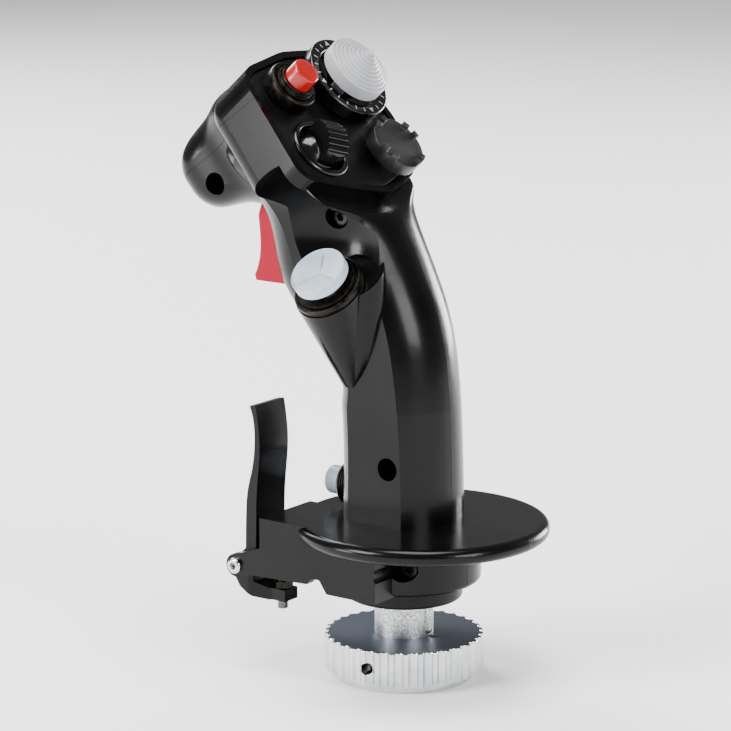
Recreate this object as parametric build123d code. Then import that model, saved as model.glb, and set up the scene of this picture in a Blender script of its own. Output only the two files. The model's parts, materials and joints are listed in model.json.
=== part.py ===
"""Flight joystick grip: a two-shell die-cast stick with a knurled screw ring for its base.

Frame: origin on the screw ring's axis at its mouth, +Z up the neck, +Y forward (the trigger side),
-Y aft towards the pilot, +X to the pilot's right.  The shells part on the plane X = 0, and over the
head along a slanting line on its left side.
"""
from build123d import *
import os
from math import cos, pi, radians, sin

os.makedirs("parts", exist_ok=True)

# ---- driving dimensions, mm and degrees ----
SEAM_GAP = 0.12                # open joint between the two shells
WALL = 3.0
SCOOP_WALL = 2.4
FIT = 0.05                     # radial clearance of pins and sliding pieces
CLEAR = 0.3                    # gap between faces that don't touch
PRESS = 0.02                   # radial gap of pins that are pressed in or screwed down

RING_R = 23.0
RING_TOP = 12.3
RING_LIP_R = 20.3
RING_LIP_H = 2.2
RING_LEDGE = 9.3               # underside of the ring's top plate
THREAD_R = 16.92               # minor radius of the M36 x 2 thread
THREAD_LEN = 4.8
THREAD_RELIEF = 0.6
FLUTES = 34
FLUTE_R = 1.6
WASHER_H = 1.2

NECK_R = 8.5
NECK_BORE_R = 6.2
NECK_TOP = 43.0
FLANGE_R = 15.5
FLANGE_Z = 5.2
FLANGE_H = 2.8
RIB_Z = 14.3                   # lower end of the neck's key rib
LOWER_COLLAR_R = 16.9
LOWER_COLLAR_Z = 23.2
COLLAR_R = 22.2
COLLAR_Z = 28.5
SPIGOT_R = 10.2

REST_CENTRE_Y = -6.3
REST_R = 36.5
REST_TOP = 47.0
REST_H = 4.7

PANEL_ORIGIN = (0.0, 5.6, 140.5)   # lowest point of the thumb panel's border
PANEL_TILT = 42.0                  # the panel faces aft, this far above level
HEAD_DEPTH = 19.5
PLATE_INSET = 2.4
PLATE_SINK = 0.5
PLATE_T = 2.4
NOSE = [
    # out of the panel, left, right, lowest, highest, corner radius
    (-6.0, -21.0, 17.0, 14.0, 50.0, 8.0),
    (-18.0, -20.0, 16.5, 14.0, 51.3, 8.5),
    (-27.0, -16.5, 14.0, 14.5, 52.0, 8.0),
    (-34.0, -14.5, 12.0, 21.5, 51.7, 8.0),
    (-41.5, -14.8, 12.0, 26.6, 50.8, 8.0),
    (-47.0, -13.4, 11.0, 29.4, 48.8, 7.5),
    (-50.4, -9.0, 7.0, 33.2, 45.2, 5.0),
]
SEAM_LINE = ((29.3, 168.3), (71.5, 138.0))   # side view of the joint over the head

POD_CENTRE = (-20.3, 11.3, 114.6)  # middle of the pod's open end
POD_AXIS = (-0.66, 0.04, 0.75)
POD_R = 10.6

SCREW_R = 1.45
SCREW_HEAD_R = 2.8
RECESS_R = 3.3

BRACKET_LEFT = -28.0
BRACKET_RIGHT = -4.0
BRACKET_FRONT = 30.8
CHEEK = 3.0
PADDLE_PIVOT = (39.6, 31.6)        # y, z of the paddle's pivot screw
PADDLE_MIDDLE = -17.7
PADDLE_REACH = 9.2                 # from the pivot back to the adjuster screw

TRIGGER_PIVOT = (41.5, 133.5)
TRIGGER_HALF = 4.6
TRIGGER_ROD_Z = 114.0

PINKY_Z = 53.7
PINKY_FACE = 17.4                  # y of the stem's front face at the pinky button
PINKY_COLLAR_R = 6.65
PINKY_SWITCH_R = 4.5

BUTTON_R = 4.15                    # the red and the white round buttons
HAT_PIVOT = -5.2                   # height of a hat's tilt axes over its own seat
HAT_FLOOR = -9.4
HAT_TOP = -2.9
HAT_BODY_R = 7.3
HAT_SLIDER_R = 6.2
HAT_STEM_R = 2.2
TRIM_SPOT = (8.5, 35.5)            # across and up the panel
CASTLE_SPOT = (8.6, 10.9)
SELECTOR_SPOT = (-16.6, 17.0)
SELECTOR_TURN = -20.0
RED_SPOT = (-15.6, 36.6)
THUMB_DISC_R = 8.15
THUMB_DISC_TOP = 8.2
BOARD_X = 4.0


# ---- small helpers ----
def tube(plane, radius, low, high, bore=0.0):
    """Cylinder along a plane's normal between two heights, bored out if bore is given."""
    body = extrude(plane.offset(low) * Circle(radius), high - low)
    if bore:
        body -= extrude(plane.offset(low) * Circle(bore), high - low)
    return body


def lathe(plane, points):
    """Solid of revolution about a plane's normal from (radius, height) points."""
    profile = Plane(origin=plane.origin, x_dir=plane.x_dir, z_dir=-plane.y_dir)
    return revolve(profile * make_face(Polyline(*points, close=True)), Axis(plane.origin, plane.z_dir))


def turned(plane, angle):
    """The same plane with its x direction turned about its normal."""
    x_dir = plane.x_dir.rotate(Axis((0, 0, 0), plane.z_dir), angle)
    return Plane(origin=plane.origin, x_dir=x_dir, z_dir=plane.z_dir)


def cross_plane(plane, height, along_x):
    """Plane at a height whose normal is the given plane's x or y direction."""
    origin = plane.offset(height).origin
    if along_x:
        return Plane(origin=origin, x_dir=plane.y_dir, z_dir=plane.x_dir)
    return Plane(origin=origin, x_dir=plane.x_dir, z_dir=plane.y_dir)


def lateral(y, z):
    """Plane facing right (+X) with its origin at the given side-view point."""
    return Plane(origin=(0, y, z), x_dir=(0, 1, 0), z_dir=(1, 0, 0))


def side_prism(points, left, right):
    """Side-view (y, z) outline carried across from left to right."""
    face = Plane(origin=(left, 0, 0), x_dir=(0, 1, 0), z_dir=(1, 0, 0)) * make_face(Polyline(*points, close=True))
    return extrude(face, right - left)


def coil(plane, radius, wire, low, high, turns):
    """Round-wire coil about a plane's normal."""
    path = plane.offset(low) * Helix(pitch=(high - low) / turns, height=high - low, radius=radius)
    section = Plane(origin=path @ 0, z_dir=path % 0) * Circle(wire)
    return sweep(section, path=path, is_frenet=True)


# ---- head frame ----
PANEL_NORMAL = Vector(0, -cos(radians(PANEL_TILT)), sin(radians(PANEL_TILT)))
PANEL_UP = Vector(0, sin(radians(PANEL_TILT)), cos(radians(PANEL_TILT)))


def panel_point(aside, up, out):
    """Point on the thumb panel: aside to the right, up the panel and out of it."""
    return Vector(aside, PANEL_ORIGIN[1], PANEL_ORIGIN[2]) + PANEL_UP * up + PANEL_NORMAL * out


def panel_plane(aside=0.0, up=0.0, out=0.0, turn=0.0):
    """Plane parallel to the thumb panel, turned about its normal."""
    return turned(Plane(origin=panel_point(aside, up, out), x_dir=(1, 0, 0), z_dir=PANEL_NORMAL), turn)


POD_PLANE = Plane(origin=POD_CENTRE, x_dir=(0.75, 0, 0.66), z_dir=POD_AXIS)


# ---- grip body ----
STEM = [
    # back point, front point, rounding depth behind and before, half widths left and right
    ((-16.7, 44.0), (17.6, 44.0), 7.2, 8.3, 15.0, 15.0),
    ((-16.4, 62.0), (17.2, 62.0), 7.2, 8.3, 15.0, 15.0),
    ((-15.7, 80.0), (18.0, 80.0), 7.6, 8.6, 15.0, 15.0),
    ((-13.9, 96.0), (21.8, 94.0), 8.0, 10.0, 15.0, 15.0),
    ((-10.4, 109.0), (35.4, 107.0), 8.2, 13.0, 15.0, 15.0),
    ((-5.0, 121.0), (41.8, 121.0), 8.4, 13.0, 15.2, 15.0),
    ((1.0, 132.0), (47.0, 138.0), 7.0, 12.0, 18.0, 15.5),
]
STRAIGHT_TOP = 80.0            # the stem's lower, nearly straight part ends at its third section
NECK_UP = (0.6, 33.0)          # where the stem's top section lies on the panel
NECK_OUT = -3.5


def stem_section(back, front, back_round, front_round, left, right):
    """One section of the stem through its back and front points, each given as (y, z)."""
    run = Vector(0, front[0] - back[0], front[1] - back[1])
    depth = run.length
    plane = Plane(origin=(0, back[0], back[1]), x_dir=(1, 0, 0), z_dir=Vector(1, 0, 0).cross(run))
    outline = [
        Line((-left, back_round), (-left, depth - front_round)),
        ThreePointArc((-left, depth - front_round), (0, depth), (right, depth - front_round)),
        Line((right, depth - front_round), (right, back_round)),
        ThreePointArc((right, back_round), (0, 0), (-left, back_round)),
    ]
    return plane * make_face(outline)


def stem_solid(inset=0.0):
    """The stem from the hand rest up to the panel, or the hollow inside it when inset."""
    sections = []
    for back, front, back_round, front_round, left, right in STEM:
        inner_back = (back[0] + inset, back[1])
        inner_front = (front[0] - inset, front[1])
        sections.append(stem_section(inner_back, inner_front, back_round, front_round, left - inset, right - inset))
    low = panel_point(0, NECK_UP[0] + inset, NECK_OUT - inset)
    high = panel_point(0, NECK_UP[1] - inset, NECK_OUT - inset)
    sections.append(stem_section((low.Y, low.Z), (high.Y, high.Z), 7.5, 9.0, 28.5 - inset, 18.0 - inset))
    upper = loft(sections) & Pos(0, 0, STRAIGHT_TOP + 100) * Box(200, 200, 200)
    return loft(sections[:3]) + upper


def panel_outline(inset=0.0):
    """Shield-shaped outline of the thumb panel, wider to the left than to the right."""
    corners = [(-32.3, 9.0), (-28.8, 46.0), (-6.0, 50.0), (20.5, 48.0), (23.6, 22.0), (16.5, 3.6), (0, -1.0), (-15, 3.0)]
    radii = [6.0, 9.0, 20.0, 9.0, 14.0, 7.0, 14.0, 18.0]
    sketch = make_face(Polyline(*corners, close=True))
    for corner, radius in zip(corners, radii):
        nearest = sketch.vertices().sort_by_distance((corner[0], corner[1], 0))[0]
        sketch = fillet(nearest, radius)
    if inset:
        sketch = offset(sketch, -inset)
    return sketch


def block_solid():
    """The deep block behind the thumb panel, with its forward edge rounded."""
    prism = extrude(panel_plane() * panel_outline(), -HEAD_DEPTH)
    front = prism.faces().sort_by(Axis(PANEL_ORIGIN, -PANEL_NORMAL))[-1]
    return fillet(front.edges(), 6.5)


def nose_section(out, left, right, low, high, corner):
    """Rounded cross-section of the nose, parallel to the panel."""
    plane = panel_plane((left + right) / 2, (low + high) / 2, out)
    return plane * RectangleRounded(right - left, high - low, corner)


def nose_solid():
    """The forward nose: it slants down from the top of the block and narrows to its round end."""
    sections = [nose_section(*values) for values in NOSE]
    body = loft(sections)
    end = body.faces().sort_by(Axis(PANEL_ORIGIN, -PANEL_NORMAL))[-1]
    return fillet(end.edges(), 3.0)


def pod_solid():
    """The tapering pod on the left flank that carries the thumb disc, with its web to the stem."""
    foot = Plane(origin=(-11.5, 8.6, 87.0), x_dir=(1, 0, 0.3), z_dir=(-0.3, 0, 1))
    cone = loft([foot * Circle(4.0), POD_PLANE * Circle(POD_R)])
    middle = Plane(origin=(-12.4, 6.4, 99.0), x_dir=(1, 0, 0.6), z_dir=(-0.6, 0, 1)) * Circle(6.8)
    wing = loft([foot * Circle(3.8), middle, POD_PLANE.offset(-0.8) * Pos(6.5, -5.5) * Circle(8.5)])
    return cone + wing


def rest_solid():
    """The round hand rest with its half-round rim, and the collar beneath it."""
    plate = tube(Plane.XY, REST_R, REST_TOP - REST_H, REST_TOP).moved(Location((0, REST_CENTRE_Y, 0)))
    plate = fillet(plate.edges(), 2.3)
    collar = tube(Plane.XY, COLLAR_R, COLLAR_Z, REST_TOP - 1.0)
    collar = fillet(collar.edges().sort_by(Axis.Z)[0], 1.6)
    return plate + collar


def bracket_solid():
    """The paddle's mount: a box off the hand rest with two cheeks that carry the pivot screw."""
    y, z = PADDLE_PIVOT
    outline = [(-10, REST_TOP), (BRACKET_FRONT, REST_TOP), (BRACKET_FRONT, 38.0), (y, z + 3.4), (y, z - 3.4),
               (33.4, 29.6), (14.0, 30.3), (12.2, 32.2), (9.6, 32.2), (7.0, COLLAR_Z), (-10, COLLAR_Z)]
    body = side_prism(outline, BRACKET_LEFT, BRACKET_RIGHT)
    cheek_span = BRACKET_RIGHT - BRACKET_LEFT
    body += tube(lateral(y, z).offset(BRACKET_LEFT), 3.4, 0, cheek_span)
    keep = tube(Plane.XY, REST_R - 1.0, COLLAR_Z, REST_TOP).moved(Location((0, REST_CENTRE_Y, 0)))
    keep += Pos(0, 30, 38) * Box(80, 44, 40)
    return body & keep


def bracket_slot():
    """Room between the cheeks for the paddle's barrel, crank and microswitch."""
    y, z = PADDLE_PIVOT
    outline = [(13.0, 20.0), (13.0, 43.5), (27.5, 43.5), (27.5, 38.5), (BRACKET_FRONT, 38.5), (BRACKET_FRONT, 41.0),
               (50.0, 41.0), (50.0, 20.0)]
    return side_prism(outline, BRACKET_LEFT + CHEEK, BRACKET_RIGHT - CHEEK)


def scoop(margin=0.0):
    """Thumb hollow in the left flank, under the panel's overhang and above the pod."""
    ball = Pos(-33.0, 10.5, 128.0) * Sphere(24.0 + margin)
    limit = extrude(panel_plane(out=margin - 4.5) * Rectangle(200, 200), -60)
    return ball & limit


def grip_body():
    """The whole outside of the grip before it is hollowed and parted."""
    body = stem_solid() + block_solid() + nose_solid() + rest_solid()
    body -= scoop()
    body += pod_solid() + bracket_solid()
    return body


# ---- shells ----
SCREWS = [
    # side-view place, seat of the head, how far the thread reaches into the right shell
    (56.6, 139.2, -6.0, 7.0),
    (16.2, 132.9, -6.0, 10.0),
    (-4.7, 63.9, -6.0, 9.0),
    (-12.6, 36.4, -13.0, 9.0),
]
BOSS_R = 5.0                   # round the screw heads, in the left shell
THREAD_BOSS_R = 3.5            # round the threads, in the right shell
PANEL_FLOOR = -(PLATE_SINK + PLATE_T)


def hollow():
    """Everything that is open inside the two shells."""
    room = stem_solid(WALL)
    room += extrude(panel_plane(out=PANEL_FLOOR) * panel_outline(5.0), -13.0)
    room += nose_room()
    room -= scoop(SCOOP_WALL)
    room += extrude(panel_plane(out=1.0) * panel_outline(PLATE_INSET - CLEAR), PANEL_FLOOR - 1.0)
    for spot in (TRIM_SPOT, CASTLE_SPOT, SELECTOR_SPOT, RED_SPOT):
        room += tube(panel_plane(*spot), HAT_BODY_R + CLEAR, HAT_FLOOR - CLEAR, PANEL_FLOOR + 0.5)
    room += tube(Plane.XY, SPIGOT_R + CLEAR, COLLAR_Z - 1, REST_TOP)
    return room


def nose_room():
    """Hollow of the nose, open to the block."""
    near = panel_plane(-2.0, 34.0, -12.0) * RectangleRounded(26, 26, 4)
    far = panel_plane(-1.5, 38.5, -43.0) * RectangleRounded(17, 15, 4)
    return loft([near, far])


def trigger_slot():
    """Slot in the stem's front for the trigger."""
    half = TRIGGER_HALF + CLEAR
    outline = [(33.0, 109.2), (60.0, 109.2), (60.0, 124.0), (49.8, 127.5), (48.5, 139.0), (33.0, 139.0)]
    return side_prism(outline, -half, half)


def bosses(body):
    """Screw bosses across the inside, kept within the grip's outside."""
    posts = Part()
    for y, z, seat, reach in SCREWS[:3]:
        posts += tube(lateral(y, z), BOSS_R, -20, 0)
        posts += tube(lateral(y, z), THREAD_BOSS_R, 0, 20)
    return posts & body


def board_posts():
    """Two posts in the right shell that carry the circuit board."""
    posts = Part()
    for y, z in BOARD_HOLES:
        posts += tube(lateral(y, z), 2.4, BOARD_X + 1.6, 13.5)
    return posts


def side_of_seam(shift):
    """Room to the left of the joint, and below its line over the head."""
    (y0, z0), (y1, z1) = SEAM_LINE
    slope = (z1 - z0) / (y1 - y0)
    outline = [(-90, -20), (150, -20), (150, z0 + slope * (150 - y0) + shift), (-90, z0 + slope * (-90 - y0) + shift)]
    return side_prism(outline, -80, shift)


def make_shells():
    """Left and right shells, parted along the joint with a fine open gap."""
    body = grip_body()
    shell = body - hollow() + bosses(body) + (board_posts() & body)
    shell -= trigger_slot() + bracket_slot()
    shell -= tube(POD_PLANE, HAT_BODY_R + 0.1, -16, 2)
    pinky = Plane(origin=(0, 0, PINKY_Z), x_dir=(1, 0, 0), z_dir=(0, 1, 0))
    shell -= tube(pinky, PINKY_COLLAR_R + 0.1, 8, 30) + tube(pinky, PINKY_SWITCH_R + CLEAR, 4, 9)
    y, z = PADDLE_PIVOT
    shell -= tube(lateral(y, z), SCREW_R + 0.1, -32, 0)
    y, z = TRIGGER_PIVOT
    shell -= tube(lateral(y, z), SCREW_R + PRESS, -8.6, 8.6)
    for y, z, seat, reach in SCREWS:
        shell -= tube(lateral(y, z), RECESS_R, -60, seat)
        shell -= tube(lateral(y, z), SCREW_R + 0.1, seat, reach + 0.5)
    for y, z in BOARD_HOLES:
        shell -= tube(lateral(y, z), 1.0, BOARD_X, 11.0)
    left = shell & side_of_seam(-SEAM_GAP / 2)
    right = shell - side_of_seam(SEAM_GAP / 2)
    return largest(left), largest(right)


def largest(shape):
    """The biggest solid of a shape, without boolean crumbs."""
    return shape.solids().sort_by(SortBy.VOLUME)[-1]


BOARD_HOLES = [(-6.0, 72.5), (10.5, 99.0)]


def make_panel():
    """Inset plate that carries the panel's four controls."""
    plate = extrude(panel_plane(out=-PLATE_SINK) * panel_outline(PLATE_INSET), -PLATE_T)
    plate = fillet(plate.faces().sort_by(Axis(PANEL_ORIGIN, PANEL_NORMAL))[-1].edges(), 0.4)
    for spot, radius in ((TRIM_SPOT, 5.0), (CASTLE_SPOT, 3.9), (SELECTOR_SPOT, 7.9), (RED_SPOT, 6.1)):
        plate -= tube(panel_plane(*spot), radius, -6, 2)
    return plate


# ---- neck, ring and plug ----
def make_base_insert():
    """Collar and spigot that carry the neck in the shells."""
    collar = tube(Plane.XY, LOWER_COLLAR_R, LOWER_COLLAR_Z, COLLAR_Z)
    collar = fillet(collar.edges().sort_by(Axis.Z)[0], 1.2)
    body = collar + tube(Plane.XY, SPIGOT_R, COLLAR_Z, NECK_TOP + 1)
    body -= tube(Plane.XY, NECK_R + FIT, LOWER_COLLAR_Z - 1, NECK_TOP + 2)
    return body - tube(cross_plane(Plane.XY, NECK_TOP - 4, True), SCREW_R + PRESS, -12, 12)


def make_neck():
    """Cast neck tube with its flange, locating lugs and rear key rib."""
    body = tube(Plane.XY, NECK_R, FLANGE_Z, NECK_TOP) + tube(Plane.XY, FLANGE_R, FLANGE_Z, FLANGE_Z + FLANGE_H)
    rib = Pos(0, -NECK_R, RIB_Z) * extrude(Circle(1.35), LOWER_COLLAR_Z - RIB_Z - CLEAR)
    body += rib + (Pos(0, -NECK_R, RIB_Z) * Sphere(1.35))
    body -= tube(Plane.XY, NECK_BORE_R, 0, NECK_TOP + 1)
    for side in (-1, 1):
        body -= Pos(side * FLANGE_R, 0, FLANGE_Z) * Box(3.0, 3.4, 8.0)
    return body - tube(cross_plane(Plane.XY, NECK_TOP - 4, True), SCREW_R + PRESS, -12, 12)


def make_lock_ring():
    """Knurled screw ring: threaded mouth, top plate round the neck, radial tommy hole."""
    grip = Circle(RING_R)
    grip -= PolarLocations(RING_R + 0.55, FLUTES) * Circle(FLUTE_R)
    ring = extrude(Plane.XY.offset(RING_LIP_H) * grip, RING_TOP - RING_LIP_H)
    ring = fillet(ring.edges().group_by(Axis.Z)[-1], 0.35)
    ring += tube(Plane.XY, RING_LIP_R, 0, RING_LIP_H)
    ring -= tube(Plane.XY, THREAD_R, -1, RING_LEDGE)
    ring -= tube(Plane.XY, THREAD_R + THREAD_RELIEF, THREAD_LEN, RING_LEDGE)
    ring -= tube(Plane.XY, NECK_R + 0.08, RING_LEDGE - 1, RING_TOP + 1)
    ring -= Pos(0, -NECK_R - 1.4, RING_TOP) * Box(2.8, 3.6, 2.4)
    return ring - tube(Plane(origin=(0, 0, 7.0), z_dir=(-0.99, -0.13, 0)), 1.75, 14, 26)


def make_plug():
    """Round plug in the neck's mouth: metal shell with its insulator, and five contact pins."""
    top = FLANGE_Z + 11
    shell = tube(Plane.XY, NECK_BORE_R - 0.1, FLANGE_Z + 0.2, top, 5.2)
    shell += tube(Plane.XY, NECK_BORE_R - 0.1, FLANGE_Z + 5, top - 2)
    pins = Part()
    for spot in PolarLocations(3.2, 5):
        place = spot.position
        shell -= Pos(place.X, place.Y, 0) * extrude(Circle(0.55), 30)
        pins += Pos(place.X, place.Y, FLANGE_Z + 1) * extrude(Circle(0.5), 12)
    return shell, pins


# ---- screws ----
def socket_screw(plane, seat, reach, head_r=SCREW_HEAD_R, head_h=2.6, shank_r=SCREW_R):
    """Domed screw with a hexagon socket; its head stands on the seat away from the reach."""
    way = 1 if reach > seat else -1
    body = tube(plane, shank_r, min(seat, reach), max(seat, reach))
    head = tube(plane, head_r, min(seat, seat - way * head_h), max(seat, seat - way * head_h))
    outer = seat - way * head_h
    rim = head.edges().filter_by(GeomType.CIRCLE).sort_by_distance(plane.offset(outer).origin)[0]
    head = fillet(rim, 0.7)
    socket = extrude(plane.offset(outer) * RegularPolygon(head_r * 0.5, 6), way * 1.4)
    return body + head - socket


# ---- hat switches ----
def hat_body(plane, pushes):
    """Cup that carries a hat's slider, or the gimbal pins themselves on a hat that can't be pressed."""
    inner = HAT_SLIDER_R + FIT if pushes else 5.3
    body = lathe(plane, [(0, HAT_FLOOR), (HAT_BODY_R, HAT_FLOOR), (HAT_BODY_R, HAT_TOP), (inner, HAT_TOP),
                         (inner, HAT_FLOOR + 1), (0, HAT_FLOOR + 1)])
    if not pushes:
        body -= tube(cross_plane(plane, HAT_PIVOT, True), 0.75, -6.6, 6.6)
    return body


def hat_slider(plane):
    """Sleeve that lets a hat be pressed, with holes for the gimbal's pins."""
    body = tube(plane, HAT_SLIDER_R, HAT_FLOOR + 1.8, HAT_TOP - 0.6, 5.3)
    return body - tube(cross_plane(plane, HAT_PIVOT, True), 0.75, -8, 8)


def hat_gimbal(plane):
    """Gimbal ring: two pins along x carry it, two holes along y carry the hat."""
    body = tube(plane, 4.7, HAT_PIVOT - 0.9, HAT_PIVOT + 0.9, 3.5)
    pins = tube(cross_plane(plane, HAT_PIVOT, True), 0.7, -5.9, 5.9)
    pins -= tube(plane, 4.0, HAT_PIVOT - 2, HAT_PIVOT + 2)
    return body + pins - tube(cross_plane(plane, HAT_PIVOT, False), 0.75, -6, 6)


def hat_stem(plane, top):
    """Hub with two pins along y, and the stem up into the hat."""
    body = tube(plane, 2.6, HAT_PIVOT - 1.2, HAT_PIVOT + 1.2)
    body += tube(plane, HAT_STEM_R, HAT_PIVOT, top)
    return body + tube(cross_plane(plane, HAT_PIVOT, False), 0.7, -4.3, 4.3)


def trim_cap(plane):
    """Cone with concentric ridges over a straight skirt."""
    points = [(0, 7.6), (8.4, 7.6), (8.4, 6.1), (9.8, 6.1), (9.8, 9.8)]
    ridges = 9
    for step in range(ridges):
        radius = 9.8 - step * 1.02
        height = 10.0 + step * 0.62
        points += [(radius - 0.1, height), (radius - 0.75, height + 0.5)]
    points += [(0.6, 15.9), (0, 16.0)]
    return lathe(plane, points) + hat_stem(plane, 8.0)


def trim_dial(plane):
    """Shallow dish round the trim hat, with a flat sloping band for its marks."""
    return lathe(plane, [(5.0, -PLATE_SINK), (10.5, -PLATE_SINK), (10.5, 0.4), (13.2, 0.4), (13.5, 0.8), (13.5, 4.5),
                         (13.2, 4.8), (10.3, 4.8), (10.0, 4.5), (9.2, 1.2), (5.0, 1.0)])


def castle_cap(plane):
    """Round hat with a flat top plate and four raised, notched lugs."""
    body = lathe(plane, [(0, 4.6), (7.2, 4.6), (7.2, 2.0), (8.7, 2.0), (8.7, 5.7), (8.3, 6.1), (0, 6.1)])
    ring = tube(plane, 8.7, 6.0, 7.4, 7.0)
    for lug in range(4):
        sector = turned(plane, 90 * lug + 20).offset(6.0)
        piece = ring & extrude(sector * (Pos(8, 0) * Rectangle(5, 5.6)), 3)
        body += piece - extrude(sector.offset(0.5) * (Pos(8, 0) * Rectangle(6, 1.5)), 3)
    return body + hat_stem(plane, 5.0)


def selector_knob(plane):
    """Ball-shaped knob with a toothed thumb arch across it."""
    ball_r = 8.3
    ball = Plane(origin=plane.offset(HAT_PIVOT).origin) * Sphere(ball_r)
    body = ball & tube(plane, 9, -0.8, 6)
    arch_r = 8.0
    arch = tube(cross_plane(plane, 0.0, True), arch_r, -3.6, 3.6) & tube(plane, 12, 0, 12)
    arch &= tube(plane, 6.45, 0, 12)
    for tooth in range(-3, 5):
        turn = radians((tooth - 0.5) * 12.5)
        groove = plane.location * Location((0, arch_r * sin(turn), arch_r * cos(turn)), (0, 90, 0))
        arch -= groove * (Pos(0, 0, -6) * extrude(Circle(0.55), 12))
    return body + arch + hat_stem(plane, 1.0)


def selector_bezel(plane):
    """Ring round the selector's ball."""
    return lathe(plane, [(7.75, -PLATE_SINK), (9.4, -PLATE_SINK), (9.4, 0.2), (9.0, 0.6), (7.95, 0.6), (7.75, 0.4)])


def thumb_cap(plane):
    """Disc with three creases that meet in a Y, and a flat on its rim."""
    body = tube(plane, THUMB_DISC_R, 4.9, THUMB_DISC_TOP)
    body -= extrude(turned(plane, 118).offset(4) * (Pos(9.6, 0) * Rectangle(4, 12)), 6)
    for crease in range(3):
        groove = turned(plane, 120 * crease + 35).offset(THUMB_DISC_TOP - 0.2)
        body -= extrude(groove * (Pos(3.6, 0) * Rectangle(7.6, 0.4)), 1)
    return body + hat_stem(plane, 5.5)


def thumb_collar(plane):
    """Stepped collar in the pod's mouth round the thumb disc."""
    return lathe(plane, [(3.8, -2.8), (HAT_BODY_R, -2.8), (HAT_BODY_R, 0.1), (10.3, 0.1), (10.3, 1.5), (9.9, 1.9),
                         (8.9, 1.9), (8.9, 2.5), (6.0, 2.5), (5.2, 0.6), (3.8, 0.6)])


# ---- push buttons ----
def push_cap(plane, bottom, top, rod_to):
    """Round button with a softened rim and the rod that works its switch."""
    cap = tube(plane, BUTTON_R, bottom, top)
    rim = cap.edges().filter_by(GeomType.CIRCLE).sort_by_distance(plane.offset(top).origin)[0]
    return fillet(rim, 0.6) + tube(plane, 1.5, rod_to, bottom)


def red_bushing(plane):
    """Threaded bushing with two steps round the button."""
    return lathe(plane, [(1.6, -8.0), (6.0, -8.0), (6.0, 4.6), (5.6, 4.6), (5.6, 5.2), (4.9, 5.2), (4.9, 5.8),
                         (4.2, 5.8), (4.2, -1.0), (1.6, -1.0)])


def red_guard(plane):
    """Raised cylindrical guard round the red button's bushing."""
    return lathe(plane, [(6.1, -PLATE_SINK), (7.6, -PLATE_SINK), (7.6, 3.8), (7.2, 4.3), (6.4, 4.3), (6.1, 4.0)])


def switch_can(plane, radius, low, high):
    """Closed can of a push switch, with the well that its rod works in."""
    return tube(plane, radius, low, high) - tube(plane, 1.6, high - 3, high + 1)


# ---- trigger ----
def make_trigger():
    """Curved trigger with a flared tip, carried on its pin."""
    y, z = TRIGGER_PIVOT
    outline = [
        Spline((49.4, 128.0), (48.9, 121.5), (49.4, 116.2), (51.0, 112.0)),
        Polyline((51.0, 112.0), (50.6, 110.4), (38.6, 110.4), (38.2, 120.0), (37.2, 131.0), (38.4, 136.0), (43.0, 137.0),
                 (47.0, 134.5), (49.4, 128.0)),
    ]
    face = Plane(origin=(-TRIGGER_HALF, 0, 0), x_dir=(0, 1, 0), z_dir=(1, 0, 0)) * make_face(outline)
    body = extrude(face, 2 * TRIGGER_HALF)
    front = body.edges().filter_by(lambda edge: edge.center().Y > 48.5 and abs(edge.center().X) > TRIGGER_HALF - 0.1)
    body = fillet(front, 1.6)
    body -= tube(lateral(y, z), SCREW_R + FIT, -9, 9)
    return body - side_prism([(30, 130.4), (46, 130.4), (46, 140), (30, 140)], 1.2, 3.6)


def make_trigger_spring():
    """Torsion spring round the trigger's pin, in the trigger's recess."""
    plane = Plane(origin=(1.6, TRIGGER_PIVOT[0], TRIGGER_PIVOT[1]), x_dir=(0, 1, 0), z_dir=(1, 0, 0))
    return coil(plane, 2.2, 0.25, 0.3, 1.5, 2.5)


# ---- paddle ----
def make_paddle():
    """S-curved lever, its barrel on the pivot screw, and the crank to the adjuster screw."""
    y, z = PADDLE_PIVOT
    rear = [(35.0, 36.0), (34.8, 45.0), (34.6, 52.0), (33.9, 59.4), (33.4, 66.2), (33.8, 72.6), (34.8, 78.7)]
    front = [(36.9, 78.4), (35.9, 75.6), (35.2, 70.5), (35.4, 64.8), (36.3, 59.4), (37.7, 54.0), (38.4, 48.0), (38.7, 36.0)]
    outline = [Spline(*rear), Line(rear[-1], front[0]), Spline(*front), Line(front[-1], rear[0])]
    face = Plane(origin=(-24.4, 0, 0), x_dir=(0, 1, 0), z_dir=(1, 0, 0)) * make_face(outline)
    blade = extrude(face, 13.4)
    blade += side_prism([(35.0, 36.2), (38.7, 36.2), (42.0, 33.0), (42.0, 31.0), (37.4, 31.0)], -24.4, -11.0)
    crank = side_prism([(42.6, 31.0), (42.9, 27.5), (41.0, 24.4), (37.0, 21.8), (33.0, 20.9), (27.4, 20.9), (27.4, 24.3),
                        (33.0, 24.4), (36.6, 26.2), (37.4, 31.0)], -24.4, -11.0)
    plan = [(-24.4, 46), (-24.4, 38), (-20.7, 32), (-20.7, 24), (-14.7, 24), (-14.7, 32), (-11.0, 38), (-11.0, 46)]
    crank &= extrude(Plane.XY.offset(15) * make_face(Polyline(*plan, close=True)), 20)
    barrel = tube(lateral(y, z), 3.2, -24.7, -11.0)
    body = blade + crank + barrel - tube(lateral(y, z), SCREW_R + FIT, -30, 0)
    return body - tube(adjuster_plane(), 1.55, 0, 30)


def adjuster_plane():
    """Vertical axis of the paddle's adjuster screw and microswitch plunger."""
    return Plane(origin=(PADDLE_MIDDLE, PADDLE_PIVOT[0] - PADDLE_REACH, 0))


def make_adjuster():
    """Grub screw through the crank's boss, slotted underneath."""
    body = tube(adjuster_plane(), 1.5, 18.2, 28.6)
    return body - Pos(PADDLE_MIDDLE, PADDLE_PIVOT[0] - PADDLE_REACH, 18.2) * Box(0.5, 4, 1.4)


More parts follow.
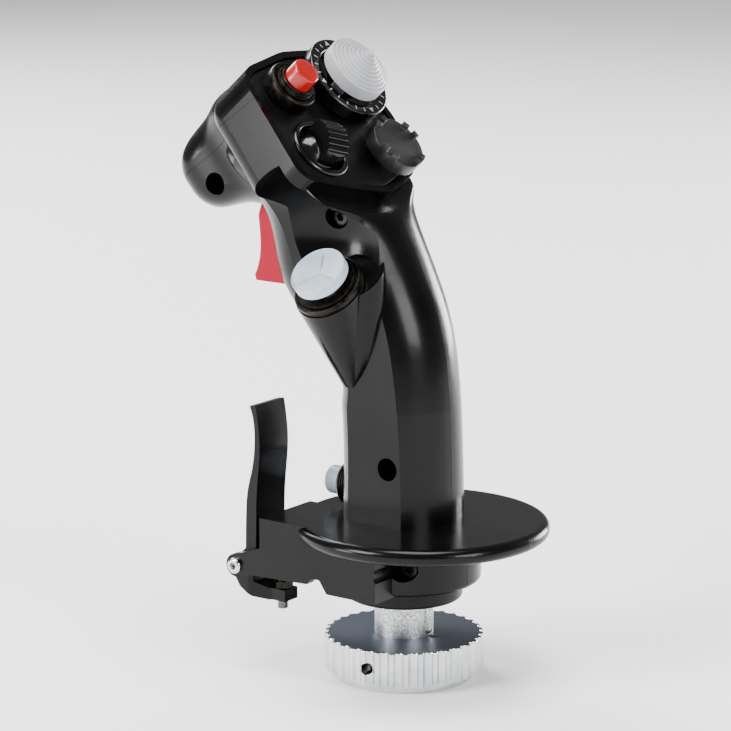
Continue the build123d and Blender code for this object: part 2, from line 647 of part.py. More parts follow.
def make_locknut():
    """Hexagon nut on the adjuster screw."""
    nut = extrude(adjuster_plane().offset(24.5) * RegularPolygon(3.0, 6), 1.9)
    return nut - tube(adjuster_plane(), 1.52, 20, 30)


def make_paddle_spring():
    """Torsion spring round the pivot screw beside the barrel."""
    y, z = PADDLE_PIVOT
    plane = Plane(origin=(-10.3, y, z), x_dir=(0, 1, 0), z_dir=(1, 0, 0))
    return coil(plane, 2.4, 0.35, 0.0, 2.6, 3)


def make_paddle_switch():
    """Microswitch in the bracket, with the bore for its plunger."""
    body = Pos(PADDLE_MIDDLE, 23.4, 35.0) * Box(6.4, 18.0, 6.6)
    for y in (17.5, 22.5):
        body -= tube(lateral(y, 36.0), 1.1, -22, -12)
    return body - tube(adjuster_plane(), 0.95, 30, 36)


def make_all():
    """Every node by name."""
    nodes = {}
    left, right = make_shells()
    nodes["left_shell"] = left
    nodes["right_shell"] = right
    nodes["thumb_panel"] = make_panel()
    nodes["base_insert"] = make_base_insert()
    nodes["neck_tube"] = make_neck()
    nodes["neck_cross_pin"] = tube(cross_plane(Plane.XY, NECK_TOP - 4, True), SCREW_R, -SPIGOT_R, SPIGOT_R)
    nodes["lock_ring"] = make_lock_ring()
    nodes["slip_washer"] = tube(Plane.XY, 15.2, RING_LEDGE - WASHER_H, RING_LEDGE - FIT, NECK_R + 0.08)
    nodes["plug_shell"], nodes["plug_pins"] = make_plug()

    screws = Part()
    for y, z, seat, reach in SCREWS:
        screws += socket_screw(lateral(y, z), seat, reach)
    nodes["shell_screws"] = screws

    board = Pos(BOARD_X + 0.8, 1.8, 86) * Box(1.6, 21, 34)
    board_screws = Part()
    for y, z in BOARD_HOLES:
        board -= tube(lateral(y, z), 1.05, 0, 12)
        board_screws += socket_screw(lateral(y, z), BOARD_X, 10.0, 1.9, 1.4, 0.95)
    nodes["control_board"] = board
    nodes["board_screws"] = board_screws
    nodes["board_headers"] = Pos(BOARD_X - 2.0, 1.0, 78) * Box(4, 12, 4) + Pos(BOARD_X - 2.0, 1.0, 95) * Box(4, 12, 4)
    nodes["control_chip"] = Pos(BOARD_X - 0.6, 1.0, 86.5) * Box(1.2, 8, 8)

    trim = panel_plane(*TRIM_SPOT)
    nodes["trim_dial"] = trim_dial(trim)
    nodes["trim_hat"] = trim_cap(trim)
    nodes["trim_gimbal"] = hat_gimbal(trim)
    nodes["trim_switch_body"] = hat_body(trim, False)

    castle = panel_plane(*CASTLE_SPOT)
    nodes["castle_hat"] = castle_cap(castle)
    nodes["castle_gimbal"] = hat_gimbal(castle)
    nodes["castle_slider"] = hat_slider(castle)
    nodes["castle_switch_body"] = hat_body(castle, True)

    selector = panel_plane(*SELECTOR_SPOT, turn=SELECTOR_TURN)
    nodes["selector_bezel"] = selector_bezel(selector)
    nodes["selector_knob"] = selector_knob(selector)
    nodes["selector_gimbal"] = hat_gimbal(selector)
    nodes["selector_slider"] = hat_slider(selector)
    nodes["selector_switch_body"] = hat_body(selector, True)

    nodes["thumb_collar"] = thumb_collar(POD_PLANE)
    nodes["thumb_disc"] = thumb_cap(POD_PLANE)
    nodes["thumb_gimbal"] = hat_gimbal(POD_PLANE)
    nodes["thumb_slider"] = hat_slider(POD_PLANE)
    nodes["thumb_switch_body"] = hat_body(POD_PLANE, True)

    red = panel_plane(*RED_SPOT)
    nodes["red_button"] = push_cap(red, 2.6, 10.4, -8.4)
    nodes["red_button_guard"] = red_guard(red)
    nodes["red_button_bushing"] = red_bushing(red)
    nut = extrude(red.offset(-5.4) * RegularPolygon(7.5, 6), 2.4)
    nodes["red_button_nut"] = nut - tube(red, 6.02, -7, 0)
    nodes["red_button_spring"] = coil(red, 2.9, 0.35, -0.6, 0.7, 2)
    nodes["red_button_switch"] = switch_can(red, 4.5, -15.5, -8.1)

    pinky = Plane(origin=(0, PINKY_FACE, PINKY_Z), x_dir=(1, 0, 0), z_dir=(0, 1, 0))
    nodes["pinky_button"] = push_cap(pinky, -0.4, 8.4, -5.4)
    nodes["pinky_collar"] = lathe(pinky, [(1.6, -5.0), (5.6, -5.0), (5.6, -2.6), (PINKY_COLLAR_R, -2.6),
                                          (PINKY_COLLAR_R, 2.0), (6.2, 2.6), (4.2, 2.6), (4.2, -3.6), (1.6, -3.6)])
    nodes["pinky_spring"] = coil(pinky, 2.9, 0.35, -3.2, -2.7, 1)
    nodes["pinky_switch"] = switch_can(pinky, PINKY_SWITCH_R, -12.0, -5.1)

    y, z = TRIGGER_PIVOT
    nodes["trigger"] = make_trigger()
    nodes["trigger_pin"] = tube(lateral(y, z), SCREW_R, -8.5, 8.5)
    nodes["trigger_spring"] = make_trigger_spring()
    rod = Plane(origin=(0, 0, TRIGGER_ROD_Z), x_dir=(1, 0, 0), z_dir=(0, 1, 0))
    nodes["trigger_plunger"] = tube(rod, 1.2, 24.5, 38.0)
    switch = Pos(0, 25.0, TRIGGER_ROD_Z) * Box(8.0, 10.0, 7.0) - tube(rod, 1.25, 16, 34)
    nodes["trigger_switches"] = switch + Pos(0, 25.0, TRIGGER_ROD_Z + 8) * Box(8.0, 10.0, 7.0)

    y, z = PADDLE_PIVOT
    nodes["paddle_lever"] = make_paddle()
    nodes["paddle_pivot_screw"] = socket_screw(lateral(y, z), BRACKET_LEFT - 0.05, -2.4, 2.3, 1.3)
    nut = extrude(lateral(y, z).offset(BRACKET_RIGHT + 0.05) * RegularPolygon(2.9, 6), 1.4)
    nodes["paddle_pivot_nut"] = nut - tube(lateral(y, z), SCREW_R + PRESS, -6, 0)
    nodes["paddle_spring"] = make_paddle_spring()
    nodes["paddle_adjuster"] = make_adjuster()
    nodes["paddle_locknut"] = make_locknut()
    nodes["paddle_switch"] = make_paddle_switch()
    nodes["paddle_plunger"] = tube(adjuster_plane(), 0.9, 28.9, 33.0)
    return nodes


if __name__ == "__main__":
    for name, shape in make_all().items():
        export_step(shape, f"parts/{name}.step")
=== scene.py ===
"""Flight joystick grip: finishes, turned pieces, floor, lights and camera."""
import json
import math

import bpy
from mathutils import Matrix, Vector


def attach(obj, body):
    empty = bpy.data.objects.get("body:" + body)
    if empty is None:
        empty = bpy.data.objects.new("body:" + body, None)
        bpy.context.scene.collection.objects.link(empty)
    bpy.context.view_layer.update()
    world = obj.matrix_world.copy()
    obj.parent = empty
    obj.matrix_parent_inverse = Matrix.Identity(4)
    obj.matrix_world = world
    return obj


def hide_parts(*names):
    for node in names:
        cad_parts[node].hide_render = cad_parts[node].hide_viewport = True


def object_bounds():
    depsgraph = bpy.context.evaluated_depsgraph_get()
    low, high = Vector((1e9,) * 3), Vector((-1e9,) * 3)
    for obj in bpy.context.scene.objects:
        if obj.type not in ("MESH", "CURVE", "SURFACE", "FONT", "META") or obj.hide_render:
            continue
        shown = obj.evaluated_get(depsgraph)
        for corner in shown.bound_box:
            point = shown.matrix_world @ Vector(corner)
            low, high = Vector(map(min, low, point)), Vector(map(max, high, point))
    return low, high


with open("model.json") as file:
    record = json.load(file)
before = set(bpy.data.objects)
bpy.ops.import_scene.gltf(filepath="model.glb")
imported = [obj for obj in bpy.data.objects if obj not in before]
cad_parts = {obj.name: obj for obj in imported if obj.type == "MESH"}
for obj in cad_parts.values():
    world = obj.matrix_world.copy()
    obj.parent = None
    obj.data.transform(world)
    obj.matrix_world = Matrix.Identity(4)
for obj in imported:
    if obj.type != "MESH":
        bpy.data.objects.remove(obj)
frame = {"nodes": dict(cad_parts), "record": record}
cad_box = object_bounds()

MM = 0.001

# ---- the head's own directions, as the grip is built ----
PANEL_TILT = math.radians(42.0)
PANEL_FOOT = Vector((0.0, 5.6, 140.5)) * MM
PANEL_OUT = Vector((0.0, -math.cos(PANEL_TILT), math.sin(PANEL_TILT)))
PANEL_UP = Vector((0.0, math.sin(PANEL_TILT), math.cos(PANEL_TILT)))
POD_CENTRE = Vector((-20.3, 11.3, 114.6)) * MM
POD_OUT = Vector((-0.66, 0.04, 0.75)).normalized()


def panel_place(aside, up):
    """A place over the thumb panel: x to the right, y up the panel and z out of it."""
    right = Vector((1.0, 0.0, 0.0))
    turned = Matrix((right, PANEL_UP, PANEL_OUT)).transposed().to_4x4()
    spot = PANEL_FOOT + (right * aside + PANEL_UP * up) * MM
    return Matrix.Translation(spot) @ turned


# ---- node helpers ----
def linear(code):
    """An sRGB hex colour as linear red, green, blue and alpha."""
    values = []
    for place in (1, 3, 5):
        part = int(code[place:place + 2], 16) / 255
        values.append(part / 12.92 if part <= 0.04045 else ((part + 0.055) / 1.055) ** 2.4)
    return values + [1.0]


def add(tree, kind, settings=None, links=None):
    """Adds a node, sets its sockets or properties, and links its inputs to the given outputs."""
    node = tree.nodes.new(kind)
    for name, value in (settings or {}).items():
        if isinstance(name, int) or name in node.inputs:
            node.inputs[name].default_value = value
        else:
            setattr(node, name, value)
    for name, output in (links or {}).items():
        tree.links.new(output, node.inputs[name])
    return node


def start_material(name, **settings):
    """A material with its shader, and the object coordinates that its patterns read."""
    material = bpy.data.materials.new(name)
    material.use_nodes = True
    tree = material.node_tree
    tree.nodes.clear()
    shader = add(tree, "ShaderNodeBsdfPrincipled", settings)
    add(tree, "ShaderNodeOutputMaterial", links={"Surface": shader.outputs["BSDF"]})
    place = add(tree, "ShaderNodeTexCoord").outputs["Object"]
    return material, tree, shader, place


def grain(tree, place, size, detail=2.0, stretch=None):
    """Noise whose blobs are about size millimetres, stretched along one direction if asked."""
    if stretch:
        mapping = add(tree, "ShaderNodeMapping", {"Scale": stretch}, {"Vector": place})
        place = mapping.outputs["Vector"]
    settings = {"Scale": 1.0 / (size * MM), "Detail": detail, "Roughness": 0.55}
    return add(tree, "ShaderNodeTexNoise", settings, {"Vector": place}).outputs["Fac"]


def span(tree, value, low, high, start=0.35, end=0.65):
    """The value's middle range carried over to low to high."""
    settings = {"From Min": start, "From Max": end, "To Min": low, "To Max": high}
    return add(tree, "ShaderNodeMapRange", settings, {"Value": value}).outputs["Result"]


def blend_colours(tree, factor, first, second):
    """Two colours mixed by a factor; each is a hex code or another node's output."""
    node = add(tree, "ShaderNodeMix", {"data_type": "RGBA"}, {"Factor": factor})
    for socket, colour in zip(node.inputs[6:8], (first, second)):
        if isinstance(colour, str):
            socket.default_value = linear(colour)
        else:
            tree.links.new(colour, socket)
    return node.outputs[2]


def drifting(tree, shader, drift, colours, rough):
    """Base colour and roughness that wander with the same slow noise."""
    colour = blend_colours(tree, span(tree, drift, 0.0, 1.0), *colours)
    tree.links.new(colour, shader.inputs["Base Color"])
    tree.links.new(span(tree, drift, *rough), shader.inputs["Roughness"])


def emboss(tree, shader, layers):
    """Bumps given as (height output, depth in millimetres), one over the other."""
    normal = None
    for height, depth in layers:
        links = {"Height": height}
        if normal:
            links["Normal"] = normal
        settings = {"Strength": 1.0, "Distance": depth * MM}
        normal = add(tree, "ShaderNodeBump", settings, links).outputs["Normal"]
    tree.links.new(normal, shader.inputs["Normal"])


def plain_finish(name, colours, rough, size, depth, cloud=9.0, stretch=None, **settings):
    """A finish with two close tones, a roughness that drifts, and one fine surface grain."""
    material, tree, shader, place = start_material(name, **settings)
    drift = grain(tree, place, cloud, 3.0)
    fine = grain(tree, place, size, 2.0, stretch)
    drifting(tree, shader, drift, colours, rough)
    emboss(tree, shader, [(fine, depth)])
    return material


# ---- finishes ----
def painted_shell():
    """Semi-gloss black powder coat over a die-casting: fine orange peel over faint grit."""
    material, tree, shader, place = start_material(
        "powder_coated_die_casting",
        **{"Specular IOR Level": 0.15, "Coat Weight": 0.05, "Coat Roughness": 0.08})
    drift = grain(tree, place, 26.0, 3.0)
    peel = grain(tree, place, 0.9, 1.0)
    grit = grain(tree, place, 0.28, 2.0)
    drifting(tree, shader, drift, ("#030304", "#060607"), (0.17, 0.27))
    emboss(tree, shader, [(peel, 0.012), (grit, 0.008)])
    return material


def ring_aluminium():
    """Turned aluminium ring: bright flutes with feed marks, and a satin top face that a painted
    reflection darkens to blue-grey.
    """
    material, tree, shader, place = start_material("turned_aluminium_ring", Metallic=1.0)
    facing = add(tree, "ShaderNodeNewGeometry").outputs["Normal"]
    upward = add(tree, "ShaderNodeSeparateXYZ", links={"Vector": facing}).outputs["Z"]
    # faces that point up: rougher as a real satin face, and painted a darker blue-grey as a
    # painted reflection
    satin_top_with_painted_reflection = span(tree, upward, 0.0, 1.0, 0.80, 0.93)
    drift = grain(tree, place, 5.0, 3.0)
    bright = blend_colours(tree, span(tree, drift, 0.0, 1.0), "#dcdddf", "#c4c6ca")
    tree.links.new(blend_colours(tree, satin_top_with_painted_reflection, bright, "#5d6572"), shader.inputs["Base Color"])
    tree.links.new(span(tree, satin_top_with_painted_reflection, 0.20, 0.42, 0.0, 1.0), shader.inputs["Roughness"])
    feed = grain(tree, place, 0.35, 1.0, (0.06, 0.06, 1.0))
    emboss(tree, shader, [(feed, 0.012)])
    return material


def cast_neck():
    """Bare sand-blasted casting: bright sparkling grains over a dull silver."""
    material, tree, shader, place = start_material("blasted_zinc_casting", Metallic=1.0)
    grit = grain(tree, place, 0.55, 3.0)
    drifting(tree, shader, grit, ("#8f9194", "#e2e3e4"), (0.48, 0.26))
    emboss(tree, shader, [(grit, 0.09)])
    return material


def circuit_board():
    """Glass-epoxy board under a green solder mask, with the copper's runs just showing."""
    material, tree, shader, place = start_material("solder_masked_board", Roughness=0.35)
    settings = {"Scale": 1.0 / (2.4 * MM), "distance": "MANHATTAN", "feature": "F1"}
    runs = add(tree, "ShaderNodeTexVoronoi", settings, {"Vector": place}).outputs["Distance"]
    mask = span(tree, runs, 0.0, 1.0, 0.30, 0.36)
    tree.links.new(blend_colours(tree, mask, "#11492b", "#0a3320"), shader.inputs["Base Color"])
    emboss(tree, shader, [(mask, 0.02)])
    return material


FINISHES = {
    "shell_black": painted_shell(),
    # powder coat over flat faces: the same black, a little glossier
    "panel_black": plain_finish(
        "powder_coated_plate", ("#050506", "#0a0a0b"), (0.28, 0.38), 0.5, 0.012,
        **{"Specular IOR Level": 0.2, "Coat Weight": 0.05, "Coat Roughness": 0.15}),
    # the same coat with less gloss, round the foot of the stem
    "collar_black": plain_finish(
        "powder_coated_collar", ("#050506", "#0a0a0b"), (0.30, 0.40), 0.6, 0.012,
        **{"Specular IOR Level": 0.16}),
    # moulded ABS from a polished tool: near-black and glossy, with faint moulding waviness
    "control_black": plain_finish(
        "polished_black_abs", ("#030304", "#060607"), (0.12, 0.20), 1.2, 0.006,
        **{"Specular IOR Level": 0.35, "Coat Weight": 0.12, "Coat Roughness": 0.06}),
    # dark-anodised turned parts: a blasted grain that catches light
    "gunmetal": plain_finish(
        "dark_anodised_aluminium", ("#1c1a17", "#2c2925"), (0.28, 0.42), 0.35, 0.03,
        cloud=1.2, Metallic=1.0),
    "ring_silver": ring_aluminium(),
    "cast_silver": cast_neck(),
    # polished steel: mirror-bright with a trace of haze
    "bright_steel": plain_finish(
        "polished_steel", ("#c9cacd", "#dfe0e2"), (0.10, 0.18), 0.25, 0.004, Metallic=1.0),
    # zinc-plated steel: a duller, darker grey metal
    "steel": plain_finish(
        "zinc_plated_steel", ("#505154", "#66676a"), (0.26, 0.38), 0.3, 0.008, Metallic=1.0),
    # rolled brass: warm, with a soft sheen
    "brass": plain_finish(
        "rolled_brass", ("#b8954a", "#c9a75c"), (0.24, 0.36), 0.3, 0.006, Metallic=1.0),
    # moulded acetal from a polished tool: bright red, soft highlights, lit a little from within
    "red_gloss": plain_finish(
        "glossy_red_acetal", ("#a00003", "#920003"), (0.22, 0.30), 1.5, 0.004,
        **{"Coat Weight": 0.12, "Coat Roughness": 0.12, "Subsurface Weight": 0.1,
           "Subsurface Radius": (0.002, 0.0006, 0.0004)}),
    # spark-eroded mould finish on a rose-red trigger: dull, with no sharp highlight
    "trigger_red": plain_finish(
        "satin_rose_nylon", ("#8c0020", "#960024"), (0.36, 0.46), 0.45, 0.015,
        **{"Specular IOR Level": 0.12}),
    # grey-white ABS from a fine-textured tool: soft and matt
    "hat_white": plain_finish("grey_white_abs", ("#a9aaad", "#9c9da1"), (0.34, 0.46), 0.5, 0.012),
    # acetal: a cool, slightly waxy white
    "disc_white": plain_finish(
        "cool_white_acetal", ("#b4bec8", "#a8b4c0"), (0.26, 0.36), 0.6, 0.010,
        **{"Subsurface Weight": 0.08, "Subsurface Radius": (0.001, 0.001, 0.0012)}),
    "board_green": circuit_board(),
    # glass-filled nylon: matt, from the fibres at its surface
    "switch_black": plain_finish(
        "glass_filled_nylon", ("#141414", "#1d1d1e"), (0.48, 0.62), 0.35, 0.02),
}

slot_of = {part["node"]: part["material_slot"] for part in frame["record"]["subparts"]}
for name, thing in frame["nodes"].items():
    thing.data.materials.clear()
    thing.data.materials.append(FINISHES[slot_of[name]])

# black-oxide screws in the shells' recesses: near-black with a dull oily sheen
black_oxide = plain_finish(
    "black_oxide_steel", ("#0b0b0c", "#151517"), (0.32, 0.44), 0.3, 0.006, Metallic=0.6)
frame["nodes"]["shell_screws"].data.materials[0] = black_oxide


# satin ABS from a spark-eroded tool: a dull dark grey beside the glossy controls
satin_abs = plain_finish(
    "satin_black_abs", ("#121214", "#18181a"), (0.36, 0.46), 0.4, 0.012)


# ---- modelling helpers ----
SAME_SPOT = 0.001 * MM           # points nearer than this are one point
EDGE_ANGLE = math.radians(28)    # edges sharper than this are rounded
SIDES = 96                       # of a turned piece
FINE_SIDES = 128                 # of the two largest


def clear_selection():
    """Nothing selected and nothing active, so that an operator acts only on the piece in hand."""
    bpy.ops.object.select_all(action="DESELECT")
    bpy.context.view_layer.objects.active = None


def settle(piece, place, name, body, slot):
    """Carries a piece modelled at the origin to its place, and hands it to its body."""
    piece.name = name
    piece.data.name = name
    piece.data.transform(place @ piece.matrix_basis)
    piece.matrix_basis = Matrix()
    piece.data.materials.clear()
    piece.data.materials.append(FINISHES[slot])
    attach(piece, body)


def copied(piece, places):
    """Copies of a small piece at many places, joined as one piece."""
    copies = []
    for place in places:
        copy = piece.copy()
        copy.data = piece.data.copy()
        copy.data.transform(place)
        bpy.context.collection.objects.link(copy)
        copies.append(copy)
    bpy.data.objects.remove(piece)
    clear_selection()
    for copy in copies:
        copy.select_set(True)
    bpy.context.view_layer.objects.active = copies[0]
    bpy.ops.object.join()
    return bpy.context.view_layer.objects.active


def turn_up(profile, round_edges, sides=SIDES):
    """A turned piece: a circle drawn along its profile of (radius, height) in millimetres."""
    clear_selection()
    (radius, height), rest = profile[0], profile[1:]
    bpy.ops.mesh.primitive_circle_add(
        vertices=sides, radius=radius * MM, location=(0, 0, height * MM))
    piece = bpy.context.object
    bpy.ops.object.mode_set(mode="EDIT")
    for next_radius, next_height in rest:
        rise = (0, 0, (next_height - height) * MM)
        bpy.ops.mesh.extrude_edges_move(TRANSFORM_OT_translate={"value": rise})
        widen = next_radius / radius
        bpy.ops.transform.resize(value=(widen, widen, 1), center_override=(0, 0, next_height * MM))
        radius, height = next_radius, next_height
    bpy.ops.mesh.select_all(action="SELECT")
    bpy.ops.mesh.remove_doubles(threshold=SAME_SPOT)
    bpy.ops.mesh.fill_holes(sides=0)
    bpy.ops.mesh.normals_make_consistent(inside=False)
    bpy.ops.object.mode_set(mode="OBJECT")
    bpy.ops.object.transform_apply(location=True, rotation=True, scale=True)
    if round_edges:
        finish_edges(piece, round_edges)
    return piece


def finish_edges(piece, width, crease=25):
    """Small rounded edges, as a mould or a file leaves them, and smooth shading between."""
    bevel = piece.modifiers.new("edges", "BEVEL")
    bevel.width = width * MM
    bevel.segments = 3
    bevel.limit_method = "ANGLE"
    bevel.angle_limit = EDGE_ANGLE
    clear_selection()
    piece.select_set(True)
    bpy.context.view_layer.objects.active = piece
    bpy.ops.object.modifier_apply(modifier="edges")
    bpy.ops.object.shade_smooth_by_angle(angle=math.radians(crease))


def stand_in(piece, place, name, body, node):
    """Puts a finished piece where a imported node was, with that node's finish."""
    settle(piece, place, name, body, slot_of[node])
    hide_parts(node)


# a hat's hub and stem below its cap; a profile that closes at its axis ends at PIP, not at zero
PIP = 0.05
HUB = [(PIP, -6.4), (2.6, -6.4), (2.6, -4.0), (2.2, -4.0)]


# ---- the trim hat and its dial ----
TRIM = panel_place(8.5, 35.5)
DIAL_TOP = 4.8
DIAL_MARK_R = 11.8
SKIRT_R = 9.8
RIDGES = 9
RIDGE_STEP = 1.02                # each ridge is this much smaller across its radius
RIDGE_RISE = 0.62                # and this much higher
STROKE = (0.30, 1.3, 0.06)       # width, length and thickness of a printed stroke
ARROW_R = 1.0
PRINT_LIFT = 0.01
PRINT_EDGE = 0.02


def trim_hat():
    """Grey-white cone with nine stepped ridges over a straight skirt."""
    profile = HUB + [(2.2, 7.6), (8.4, 7.6), (8.4, 6.1), (SKIRT_R, 6.1), (SKIRT_R, 9.8)]
    for step in range(RIDGES):
        radius = SKIRT_R - step * RIDGE_STEP
        height = 10.0 + step * RIDGE_RISE
        profile += [(radius - 0.1, height), (radius - 0.5, height + 0.28),
                    (radius - 0.72, height + 0.04), (radius - 0.80, height + 0.5)]
    profile += [(0.5, 15.95), (PIP, 16.0)]
    piece = turn_up(profile, 0.06, FINE_SIDES)
    stand_in(piece, TRIM, "trim_hat_cap", "trim_hat", "trim_hat")


def trim_dial():
    """Black dish round the trim hat."""
    profile = [(5.0, -0.5), (10.5, -0.5), (10.5, 0.4), (13.2, 0.4), (13.5, 0.8), (13.5, 4.5),
               (13.2, DIAL_TOP), (10.3, DIAL_TOP), (10.0, 4.5), (9.2, 1.2), (5.0, 1.0),
               (5.0, -0.5)]
    stand_in(turn_up(profile, 0.1, FINE_SIDES), TRIM, "trim_dial_dish", "root", "trim_dial")


def trim_marks():
    """Pad-printed strokes round the dial's band, and an arrowhead for each way the hat tilts."""
    lift = Matrix.Translation((0, DIAL_MARK_R * MM, (DIAL_TOP + PRINT_LIFT) * MM))
    clear_selection()
    bpy.ops.mesh.primitive_cube_add(size=1.0)
    stroke = bpy.context.object
    bpy.ops.transform.resize(value=[side * MM for side in STROKE])
    bpy.ops.object.transform_apply(location=True, rotation=True, scale=True)
    bpy.ops.object.mode_set(mode="EDIT")
    bpy.ops.mesh.bevel(offset=PRINT_EDGE * MM, segments=2)
    bpy.ops.object.mode_set(mode="OBJECT")
    angles = [math.radians(15 * step) for step in range(24) if step % 6]
    strokes = copied(stroke, [Matrix.Rotation(angle, 4, "Z") @ lift for angle in angles])
    settle(strokes, TRIM, "trim_dial_strokes", "root", "hat_white")

    clear_selection()
    bpy.ops.mesh.primitive_cylinder_add(vertices=3, radius=ARROW_R * MM, depth=STROKE[2] * MM)
    arrow = bpy.context.object
    bpy.ops.object.mode_set(mode="EDIT")
    bpy.ops.mesh.bevel(offset=PRINT_EDGE * MM, segments=2)
    bpy.ops.object.mode_set(mode="OBJECT")
    angles = [math.radians(90 * step) for step in range(4)]
    arrows = copied(arrow, [Matrix.Rotation(angle, 4, "Z") @ lift for angle in angles])
    settle(arrows, TRIM, "trim_dial_arrows", "root", "hat_white")


trim_hat()
trim_dial()
trim_marks()


# ---- the castle hat ----
CASTLE = panel_place(8.6, 10.9)
CASTLE_TOP = 6.1
PRONG_BAND = (7.1, 8.6)          # the prongs stand between these radii
PRONG_RISE = 1.3
PRONG_TURN = 20                  # degrees from the panel's own axes to a pair of prongs
PRONG_SPREAD = (4.5, 21)         # degrees from the middle of a pair that a prong takes up


def castle_hat():
    """Flat round hat; pairs of prongs stand up at its edge, one pair each way it tilts."""
    profile = HUB + [(2.2, 4.6), (7.2, 4.6), (7.2, 2.0), (8.7, 2.0)]
    profile += [(radius, CASTLE_TOP) for radius in (8.7, 7.0, 6.6, PIP)]
    piece = turn_up(profile, 0.0)
    bpy.ops.object.mode_set(mode="EDIT")
    bpy.ops.mesh.select_mode(type="FACE")
    bpy.ops.mesh.select_all(action="DESELECT")
    bpy.ops.object.mode_set(mode="OBJECT")
    for face in piece.data.polygons:
        on_top = abs(face.center.z - CASTLE_TOP * MM) < 0.01 * MM
        if on_top and PRONG_BAND[0] * MM < face.center.xy.length < PRONG_BAND[1] * MM:
            angle = math.degrees(math.atan2(face.center.y, face.center.x))
            away = abs((angle - PRONG_TURN + 45) % 90 - 45)
            face.select = PRONG_SPREAD[0] < away < PRONG_SPREAD[1]
    bpy.ops.object.mode_set(mode="EDIT")
    bpy.ops.mesh.extrude_region_move(TRANSFORM_OT_translate={"value": (0, 0, PRONG_RISE * MM)})
    bpy.ops.object.mode_set(mode="OBJECT")
    finish_edges(piece, 0.15)
    stand_in(piece, CASTLE, "castle_hat_cap", "castle_hat", "castle_hat")
    piece.data.materials[0] = satin_abs


castle_hat()

# ---- the selector's bezel ----
BEZEL = [(7.75, -0.5), (9.4, -0.5), (9.4, 0.2), (9.0, 0.6), (7.95, 0.6), (7.75, 0.4),
         (7.75, -0.5)]
SELECTOR = panel_place(-16.6, 17.0)
stand_in(turn_up(BEZEL, 0.08), SELECTOR, "selector_bezel_ring", "root", "selector_bezel")

# ---- the red button, its stepped bushing and its guard ----
RED = panel_place(-15.6, 36.6)
RED_CAP = [(PIP, -8.4), (1.5, -8.4), (1.5, 2.6), (4.1, 2.6), (4.15, 2.7), (4.15, 9.7),
           (3.98, 10.15), (3.5, 10.4), (2.0, 10.48), (PIP, 10.5)]
RED_BUSHING = [(1.6, -8.0), (6.0, -8.0), (6.0, 4.6), (5.6, 4.6), (5.6, 5.2), (4.9, 5.2),
               (4.9, 5.8), (4.25, 5.8), (4.25, -1.0), (1.6, -1.0), (1.6, -8.0)]
RED_GUARD = [(6.1, -0.5), (7.6, -0.5), (7.6, 3.8), (7.2, 4.3), (6.4, 4.3), (6.1, 4.0),
             (6.1, -0.5)]
stand_in(turn_up(RED_CAP, 0.05), RED, "red_button_cap", "red_button", "red_button")
stand_in(turn_up(RED_BUSHING, 0.08), RED, "red_button_steps", "root", "red_button_bushing")
stand_in(turn_up(RED_GUARD, 0.1), RED, "red_button_wall", "root", "red_button_guard")

# ---- the thumb disc in its collar on the pod ----
POD_ACROSS = Vector((0.75, 0.0, 0.66)).normalized()
POD_AXES = Matrix((POD_ACROSS, POD_OUT.cross(POD_ACROSS), POD_OUT)).transposed()
POD = Matrix.Translation(POD_CENTRE) @ POD_AXES.to_4x4()
THUMB_COLLAR = [(3.8, -2.8), (7.3, -2.8), (7.3, 0.1), (10.3, 0.1), (10.3, 1.5), (9.9, 1.9),
                (9.2, 1.9), (9.2, 1.6), (8.9, 1.6), (8.9, 2.5), (6.0, 2.5), (5.2, 0.6),
                (3.8, 0.6), (3.8, -2.8)]
stand_in(turn_up(THUMB_COLLAR, 0.08), POD, "thumb_collar_steps", "root", "thumb_collar")

DISC_TOP = 8.2
DISC_RINGS = (7.7, 6.6, 5.2, 3.8, 2.4, 1.0, PIP)
FACET_RISE = 0.22                # how steeply each of the disc's three facets rises outwards
CREASES = [math.radians(degrees) for degrees in (15, 135, 255)]
CREASE_DEPTHS = (1.0, 0.45, 0.45)  # the first crease is a slot, the others are faint
CREASE_ENDS = (0.5, 6.0)         # from the disc's centre


def thumb_disc():
    """Cool white disc whose top is three facets that sink to the middle and meet in a Y."""
    profile = HUB + [(2.2, 4.9), (8.0, 4.9), (8.15, 5.1), (8.15, 7.9), (7.95, 8.15)]
    profile += [(ring, DISC_TOP) for ring in DISC_RINGS]
    piece = turn_up(profile, 0.0)
    middles = [crease + math.radians(60) for crease in CREASES]
    for vertex in piece.data.vertices:
        if vertex.co.z < DISC_TOP * MM - 0.01 * MM:
            continue
        spot = vertex.co.xy
        out = max(spot.dot((math.cos(turn), math.sin(turn))) for turn in middles)
        vertex.co.z -= FACET_RISE * (DISC_RINGS[0] * MM - out)
        for crease, depth in zip(CREASES, CREASE_DEPTHS):
            along = spot.dot((math.cos(crease), math.sin(crease)))
            on_crease = spot.length - along < SAME_SPOT
            if on_crease and CREASE_ENDS[0] * MM < along < CREASE_ENDS[1] * MM:
                vertex.co.z -= depth * MM
    finish_edges(piece, 0.05, crease=6)
    stand_in(piece, POD, "thumb_disc_cap", "thumb_disc", "thumb_disc")


thumb_disc()

# ---- the pinky button and its threaded collar ----
PINKY_FOOT = Vector((0, 17.4, 53.7)) * MM
PINKY = Matrix.Translation(PINKY_FOOT) @ Matrix.Rotation(math.radians(-90), 4, "X")
PINKY_CAP = [(PIP, -5.4), (1.5, -5.4), (1.5, -0.4), (4.1, -0.4), (4.15, -0.3), (4.15, 7.8),
             (3.95, 8.2), (3.5, 8.4), (PIP, 8.45)]
stand_in(turn_up(PINKY_CAP, 0.05), PINKY, "pinky_button_cap", "pinky_button", "pinky_button")

THREAD_TURNS = 6
THREAD_PITCH = 0.75
THREAD_START = -2.4
THREAD_ROOT = 6.35
THREAD_CREST = 6.65


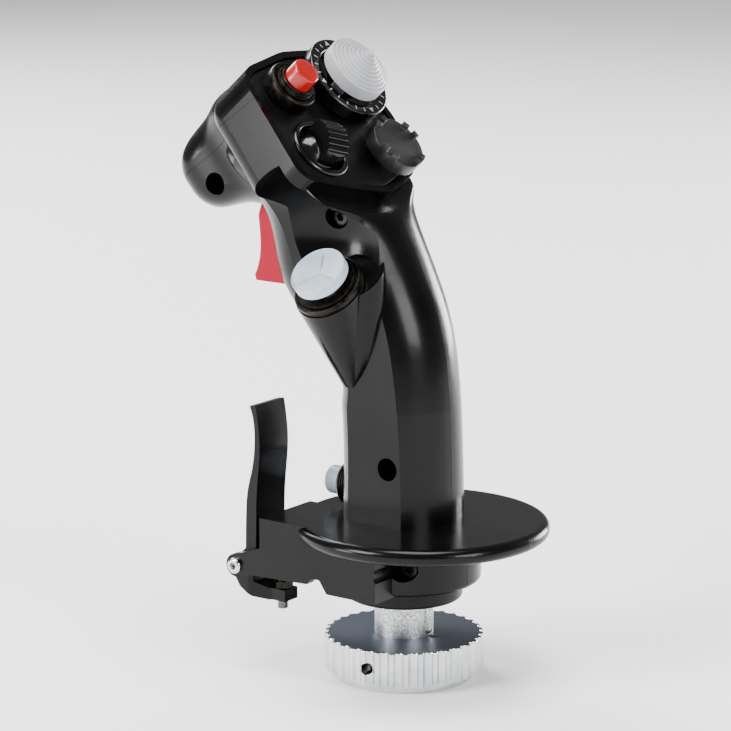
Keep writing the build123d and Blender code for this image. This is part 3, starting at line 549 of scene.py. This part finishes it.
def pinky_collar():
    """Dark bronze collar; the last turns of its thread stand proud of the stem."""
    profile = [(1.6, -5.0), (5.6, -5.0), (5.6, -2.6), (6.4, -2.6)]
    for turn in range(THREAD_TURNS):
        start = THREAD_START + turn * THREAD_PITCH
        profile += [(THREAD_ROOT, start), (THREAD_CREST, start + THREAD_PITCH * 0.4),
                    (THREAD_CREST, start + THREAD_PITCH * 0.6)]
    profile += [(THREAD_ROOT, 2.15), (6.1, 2.6), (4.25, 2.6), (4.25, -3.6), (1.6, -3.6),
                (1.6, -5.0)]
    stand_in(turn_up(profile, 0.0), PINKY, "pinky_collar_thread", "root", "pinky_collar")


pinky_collar()


# ---- floor, light and camera ----
def floor():
    """A plain pale sweep that the ring stands on."""
    clear_selection()
    level = cad_box[0][2] - 0.2 * MM
    bpy.ops.mesh.primitive_plane_add(size=12.0, location=(0, 0, level))
    ground = bpy.context.object
    ground.name = "floor"
    ground.data.transform(ground.matrix_basis)
    ground.matrix_basis = Matrix()
    material, _, shader, _ = start_material("pale_paper", Roughness=0.9)
    shader.inputs["Base Color"].default_value = linear("#ffffff")
    ground.data.materials.append(material)


def soft_light(name, place, aim, size, power):
    """A square soft box that points at the grip."""
    lamp = bpy.data.lights.new(name, "AREA")
    lamp.shape = "SQUARE"
    lamp.size = size
    lamp.energy = power
    holder = bpy.data.objects.new(name, lamp)
    bpy.context.collection.objects.link(holder)
    holder.location = place
    holder.visible_camera = False
    holder.rotation_euler = (Vector(aim) - Vector(place)).to_track_quat("-Z", "Y").to_euler()


floor()
HEART = (0.0, 0.01, 0.1)
HEAD = (-0.02, 0.0, 0.15)
soft_light("key_light", (-1.24, 0.55, 0.9), HEART, 0.6, 34.0)
soft_light("front_light", (-0.25, -1.15, 0.5), HEART, 0.5, 12.0)
soft_light("rim_light", (1.3, -0.25, 0.16), HEART, 0.5, 26.0)
soft_light("back_light", (0.5, 1.2, 0.9), HEART, 0.7, 26.0)
soft_light("top_light", (-0.1, 0.0, 1.6), HEART, 0.8, 30.0)
soft_light("flank_light", (-1.15, 0.86, 0.24), HEAD, 0.36, 11.0)

world = bpy.data.worlds.new("studio")
bpy.context.scene.world = world
world.use_nodes = True
sky = world.node_tree.nodes["Background"]
sky.inputs["Color"].default_value = linear("#ffffff")
sky.inputs["Strength"].default_value = 0.3

EYE = Vector((-716.42, -511.02, 284.04)) * MM
HEADING = math.radians(53.776)
PITCH = math.radians(12.397)
camera = bpy.data.cameras.new("camera")
camera.sensor_width = 36.0
camera.lens = 156.5
viewer = bpy.data.objects.new("camera", camera)
bpy.context.collection.objects.link(viewer)
viewer.location = EYE
viewer.rotation_euler = (math.pi / 2 - PITCH, 0.0, -HEADING)
bpy.context.scene.camera = viewer
